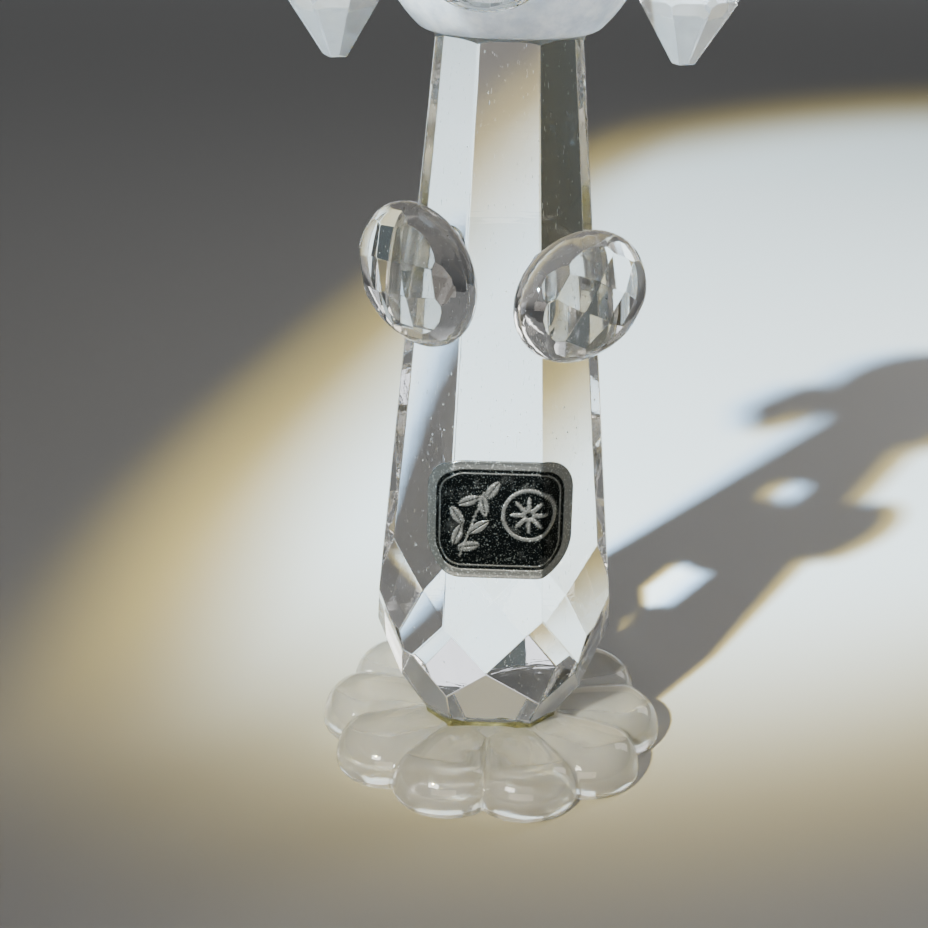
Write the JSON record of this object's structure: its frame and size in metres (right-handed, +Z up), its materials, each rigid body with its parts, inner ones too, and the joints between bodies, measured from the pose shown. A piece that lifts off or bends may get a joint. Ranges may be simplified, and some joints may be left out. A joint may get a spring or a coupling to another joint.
{
  "type": "crystal glass figurine",
  "caption": "Seated long-eared dog figurine glued together from cut-crystal pieces on a pressed-glass rosette foot, with swinging drop ears.",
  "frame": {"origin": "middle of the foot's flat underside, on the table", "axes": "+Z up, -Y towards the viewer the figurine faces, +X to that viewer's right"},
  "size_m": [0.0498, 0.0432, 0.1168],
  "materials": {
    "crystal": "polished cut crystal",
    "pressed_glass": "fire-polished pressed glass, slightly warm grey",
    "milky_glass": "polished, slightly milky",
    "frosted_glass": "etched, frosted white",
    "glue": "clear adhesive, slightly yellowed",
    "foil": "printed foil, dark field with a silver border",
    "black_glass": "polished black glass bead",
    "wire": "drawn wire, plated"
  },
  "bodies": {
    "figure": {"foot_rosette": "pressed_glass", "foot_glue": "glue", "body_prism": "crystal", "foil_label": "foil", "neck_glue": "glue", "paw_left": "crystal", "paw_glue_left": "glue", "paw_right": "crystal", "paw_glue_right": "glue", "head_ball": "frosted_glass", "muzzle_stone": "crystal", "muzzle_glue": "glue", "nose_bead": "black_glass", "eye_left": "black_glass", "eye_right": "black_glass", "ear_pin_left": "wire", "ear_pin_right": "wire"},
    "left_ear": {"ear_left": "milky_glass"},
    "right_ear": {"ear_right": "milky_glass"}
  },
  "joints": [
    {"name": "left_ear_swing", "type": "hinge", "parent": "figure", "child": "left_ear", "pos_m": [-0.0194, 0, 0.10178], "axis": [1, 0, 0], "continuous": true},
    {"name": "right_ear_swing", "type": "hinge", "parent": "figure", "child": "right_ear", "pos_m": [0.0194, 0, 0.10178], "axis": [1, 0, 0], "continuous": true}
  ]
}
